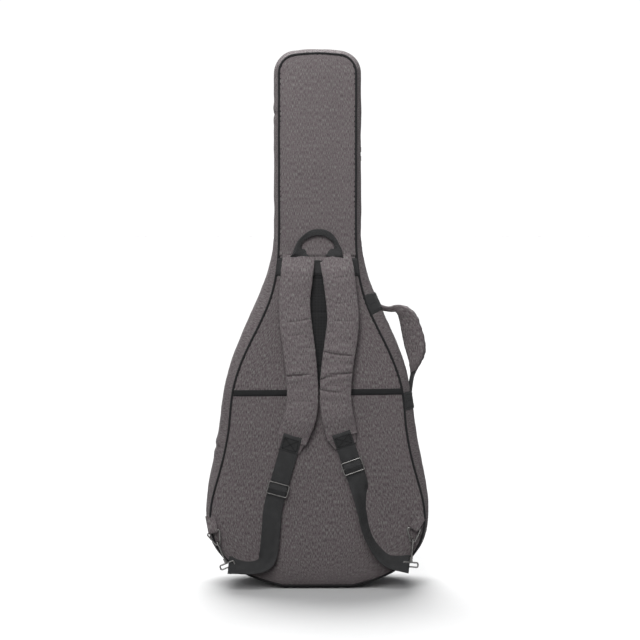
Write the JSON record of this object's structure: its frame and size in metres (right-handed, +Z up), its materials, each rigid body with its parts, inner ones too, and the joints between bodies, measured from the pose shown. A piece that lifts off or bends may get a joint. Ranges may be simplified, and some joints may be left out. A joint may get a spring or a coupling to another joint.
{
  "type": "padded gig bag",
  "caption": "Padded soft bag for an acoustic guitar, with a zipped hinged lid, backpack straps on snap hooks, a side grip, a haul loop and pockets.",
  "frame": {"origin": "on the floor, under the middle of the standing bag", "axes": "+Z up along the neck, +Y out of the lid and its pockets, -Y out of the harness side, +X to the right of a viewer who faces the harness side"},
  "size_m": [0.4532, 0.2048, 1.0899],
  "materials": {
    "shell_fabric": "heathered woven polyester",
    "foam": "closed-cell foam",
    "lining": "brushed tricot",
    "binding": "woven binding",
    "webbing": "ribbed polypropylene webbing",
    "mesh": "air mesh",
    "zip_tape": "woven tape",
    "zip_coil": "nylon coil",
    "zip_metal": "dark nickel plate",
    "hardware": "nickel plate",
    "bumper": "moulded rubber"
  },
  "bodies": {
    "case": {"rear_panel_cover": "shell_fabric", "rear_panel_foam": "foam", "rear_panel_lining": "lining", "rear_piping": "binding", "rear_gusset_cover": "shell_fabric", "rear_gusset_foam": "foam", "rear_gusset_lining": "lining", "rear_zip_tape": "zip_tape", "rear_zip_chain": "zip_coil", "spine_panel": "shell_fabric", "slip_pocket_panel": "shell_fabric", "slip_pocket_binding": "binding", "yoke_webbing": "webbing", "mesh_back_pad": "mesh", "side_handle_patches": "webbing", "ring_tabs": "webbing", "neck_cradle": "foam", "tail_bumper": "bumper"},
    "lid": {"front_panel_cover": "shell_fabric", "front_panel_foam": "foam", "front_panel_lining": "lining", "front_piping": "binding", "lid_gusset_cover": "shell_fabric", "lid_gusset_foam": "foam", "lid_gusset_lining": "lining", "lid_zip_tape": "zip_tape", "lid_zip_chain": "zip_coil", "front_pocket": "shell_fabric", "front_pocket_zip": "zip_coil", "neck_pocket": "shell_fabric", "neck_pocket_zip": "zip_coil"},
    "haul_handle": {"haul_handle": "webbing"},
    "side_handle": {"side_handle_webbing": "webbing", "side_handle_grip": "shell_fabric"},
    "upper_main_slider": {"upper_main_slider": "zip_metal"},
    "upper_main_pull": {"upper_main_pull": "zip_metal"},
    "lower_main_slider": {"lower_main_slider": "zip_metal"},
    "lower_main_pull": {"lower_main_pull": "zip_metal"},
    "front_pocket_slider": {"front_pocket_slider": "zip_metal"},
    "front_pocket_pull": {"front_pocket_pull": "zip_metal"},
    "neck_pocket_slider": {"neck_pocket_slider": "zip_metal"},
    "neck_pocket_pull": {"neck_pocket_pull": "zip_metal"},
    "left_strap": {"left_shoulder_pad": "shell_fabric", "left_pad_mesh": "mesh", "left_webbing_tab": "webbing", "left_lower_webbing": "webbing", "left_snap_eye": "hardware", "left_ring": "hardware"},
    "left_adjuster": {"left_triglide": "hardware"},
    "left_hook": {"left_snap_hook": "hardware"},
    "left_gate": {"left_snap_gate": "hardware"},
    "right_strap": {"right_shoulder_pad": "shell_fabric", "right_pad_mesh": "mesh", "right_webbing_tab": "webbing", "right_lower_webbing": "webbing", "right_snap_eye": "hardware", "right_ring": "hardware"},
    "right_adjuster": {"right_triglide": "hardware"},
    "right_hook": {"right_snap_hook": "hardware"},
    "right_gate": {"right_snap_gate": "hardware"}
  },
  "joints": [
    {"name": "lid_hinge", "type": "hinge", "parent": "case", "child": "lid", "pos_m": [-0.2216, 0, 0.2163], "axis": [0.1581, 0, 0.9874], "range_deg": [0, 150]},
    {"name": "upper_main_slide", "type": "slide", "parent": "case", "child": "upper_main_slider", "axis": [0, 0, 1], "range_m": [0, 0.13]},
    {"name": "lower_main_slide", "type": "slide", "parent": "case", "child": "lower_main_slider", "axis": [0, 0, -1], "range_m": [0, 0.12]},
    {"name": "upper_main_pull_flip", "type": "hinge", "parent": "upper_main_slider", "child": "upper_main_pull", "pos_m": [0.0864, 0, 0.889], "axis": [0, 1, 0], "range_deg": [0, 100]},
    {"name": "lower_main_pull_flip", "type": "hinge", "parent": "lower_main_slider", "child": "lower_main_pull", "pos_m": [0.0864, 0, 0.871], "axis": [0, -1, 0], "range_deg": [0, 100]},
    {"name": "front_pocket_slide", "type": "slide", "parent": "lid", "child": "front_pocket_slider", "axis": [-1, 0, 0], "range_m": [0, 0.19]},
    {"name": "front_pocket_pull_flip", "type": "hinge", "parent": "front_pocket_slider", "child": "front_pocket_pull", "pos_m": [0.098, 0.09675, 0.43706], "axis": [0, -0.0351, 0.9994], "range_deg": [0, 170]},
    {"name": "neck_pocket_slide", "type": "slide", "parent": "lid", "child": "neck_pocket_slider", "axis": [0, 0.0351, -0.9994], "range_m": [0, 0.2]},
    {"name": "neck_pocket_pull_flip", "type": "hinge", "parent": "neck_pocket_slider", "child": "neck_pocket_pull", "pos_m": [0, 0.07246, 0.90879], "axis": [1, 0, 0], "range_deg": [0, 170]},
    {"name": "haul_handle_fold", "type": "hinge", "parent": "case", "child": "haul_handle", "pos_m": [0, -0.0798, 0.678], "axis": [1, 0, 0], "range_deg": [0, 90]},
    {"name": "side_handle_fold", "type": "hinge", "parent": "case", "child": "side_handle", "pos_m": [0.13, -0.044, 0.578], "axis": [0.3341, 0, -0.9425], "range_deg": [-24, 24]},
    {"name": "left_strap_swing", "type": "hinge", "parent": "case", "child": "left_strap", "pos_m": [-0.224, -0.077, 0.1], "axis": [-0.2505, 0, -0.9681], "range_deg": [0, 75]},
    {"name": "right_strap_swing", "type": "hinge", "parent": "case", "child": "right_strap", "pos_m": [0.224, -0.077, 0.1], "axis": [-0.2505, 0, 0.9681], "range_deg": [0, 75]},
    {"name": "left_adjuster_slide", "type": "slide", "parent": "left_strap", "child": "left_adjuster", "axis": [-0.3162, 0, -0.9487], "range_m": [-0.065, 0.02]},
    {"name": "right_adjuster_slide", "type": "slide", "parent": "right_strap", "child": "right_adjuster", "axis": [0.2747, 0, -0.9615], "range_m": [-0.03, 0.02]},
    {"name": "left_hook_swivel", "type": "hinge", "parent": "left_strap", "child": "left_hook", "pos_m": [-0.182, -0.0855, 0.049], "axis": [-0.3861, 0, 0.9224], "range_deg": [-30, 30]},
    {"name": "left_gate_swing", "type": "hinge", "parent": "left_hook", "child": "left_gate", "pos_m": [-0.18876, -0.0905, 0.06514], "axis": [-0.9224, 0, -0.3861], "range_deg": [0, 14], "stiffness_Nm_per_rad": 0.02},
    {"name": "right_hook_swivel", "type": "hinge", "parent": "right_strap", "child": "right_hook", "pos_m": [0.188, -0.0855, 0.05], "axis": [0.0848, 0, 0.9964], "range_deg": [-30, 30]},
    {"name": "right_gate_swing", "type": "hinge", "parent": "right_hook", "child": "right_gate", "pos_m": [0.18948, -0.0905, 0.06744], "axis": [-0.9964, 0, 0.0848], "range_deg": [0, 14], "stiffness_Nm_per_rad": 0.02}
  ]
}
